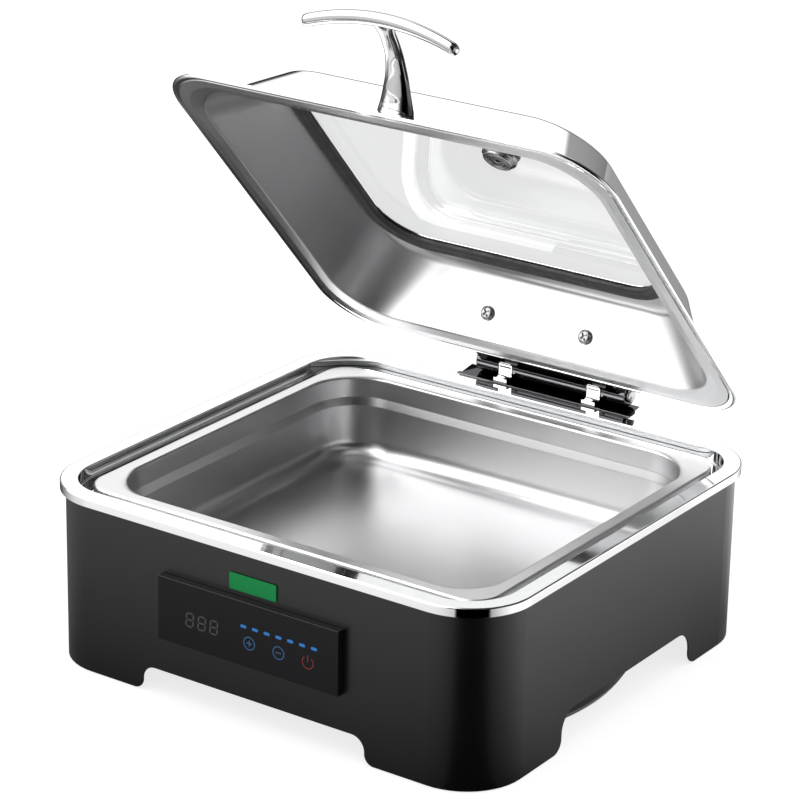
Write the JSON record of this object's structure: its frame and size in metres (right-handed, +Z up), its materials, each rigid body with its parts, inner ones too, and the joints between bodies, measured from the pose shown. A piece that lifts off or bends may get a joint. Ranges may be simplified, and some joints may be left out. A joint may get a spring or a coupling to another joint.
{
  "type": "electric buffet server",
  "caption": "Square countertop buffet warmer: black housing on corner feet, lift-out deep pan, and a hinged chrome lid with a glass window and an arched handle.",
  "frame": {"origin": "middle of the overall footprint, on the table plane, with the lid at its rest angle", "axes": "+X to the right of someone facing the control panel, -Y towards them, +Z up"},
  "size_m": [0.4026, 0.41, 0.4954],
  "materials": {
    "black_paint": "satin black paint on sheet steel",
    "chrome": "polished",
    "brushed_pan": "satin stainless steel",
    "plain_steel": "plain",
    "aluminium": "cast, plain",
    "black_plastic": "glossy black moulding",
    "black_lens": "glossy, almost black",
    "clear_glass": "clear tempered",
    "dark_rubber": "matt",
    "board": "matt board",
    "brass": "plain",
    "blue_light": "blue light bar",
    "green_badge": "plain green enamel"
  },
  "bodies": {
    "base": {"badge_plate": "green_badge", "base_plate": "black_paint", "base_screw_1": "plain_steel", "base_screw_2": "plain_steel", "base_screw_3": "plain_steel", "base_screw_4": "plain_steel", "base_tub": "black_plastic", "bracket_screw_1": "plain_steel", "bracket_screw_2": "plain_steel", "bracket_screw_3": "plain_steel", "bracket_screw_4": "plain_steel", "control_board": "board", "display_module": "black_lens", "heating_element": "plain_steel", "heating_plate": "aluminium", "hinge_bracket": "chrome", "hinge_pin": "plain_steel", "housing_shell": "black_paint", "inlet_screw_1": "plain_steel", "inlet_screw_2": "plain_steel", "insulation_board": "board", "light_bar_1": "blue_light", "light_bar_2": "blue_light", "light_bar_3": "blue_light", "light_bar_4": "blue_light", "light_bar_5": "blue_light", "light_bar_6": "blue_light", "light_bar_7": "blue_light", "panel_body": "black_plastic", "panel_lens": "black_lens", "power_inlet": "black_plastic", "rim_frame": "chrome", "rubber_foot_1": "dark_rubber", "rubber_foot_2": "dark_rubber", "rubber_foot_3": "dark_rubber", "rubber_foot_4": "dark_rubber", "temperature_sensor": "brass", "thermal_cutout": "board", "touch_pad_minus": "board", "touch_pad_plus": "board", "touch_pad_power": "board", "water_pan": "brushed_pan"},
    "lid": {"handle_bar": "chrome", "handle_screw_1": "plain_steel", "handle_screw_2": "plain_steel", "handle_stem": "chrome", "hinge_leaf": "chrome", "hinge_nut_1": "plain_steel", "hinge_nut_2": "plain_steel", "hinge_screw_1": "plain_steel", "hinge_screw_2": "plain_steel", "lid_gasket": "dark_rubber", "lid_glass": "clear_glass", "lid_shell": "chrome", "vent_bush": "chrome", "vent_nut": "chrome"},
    "pan": {"food_pan": "brushed_pan"}
  },
  "joints": [
    {"name": "lid_hinge", "type": "hinge", "parent": "base", "child": "lid", "pos_m": [0, 0.19305, 0.1518], "axis": [-1, 0, 0], "range_deg": [-47.5, 42.5]},
    {"name": "pan_lift", "type": "slide", "parent": "base", "child": "pan", "axis": [0, 0, 1], "range_m": [0, 0.005]}
  ]
}
